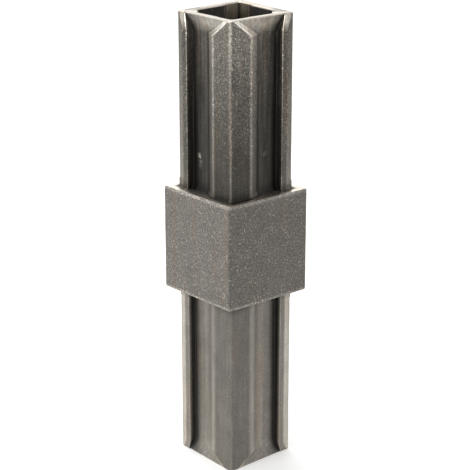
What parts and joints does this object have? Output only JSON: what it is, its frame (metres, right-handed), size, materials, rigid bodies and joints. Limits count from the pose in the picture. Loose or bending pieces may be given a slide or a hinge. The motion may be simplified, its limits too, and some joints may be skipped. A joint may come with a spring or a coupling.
{
  "type": "square tube connector",
  "caption": "Straight in-line connector for square steel tube: a square block between two hollow, channelled square arms that drive into the tube ends.",
  "frame": {"origin": "centre of the lower arm's open end, in the plane that it stands on", "axes": "+Z along both arms; +X and +Y square to the block's faces; wide pads at the (-,-) and (+,+) corners"},
  "size_m": [0.025, 0.025, 0.1133],
  "materials": {
    "raw_cast_metal": "raw as cast, fine grain, lightly oiled"
  },
  "bodies": {
    "root": {"connector_casting": "raw_cast_metal"}
  },
  "joints": []
}
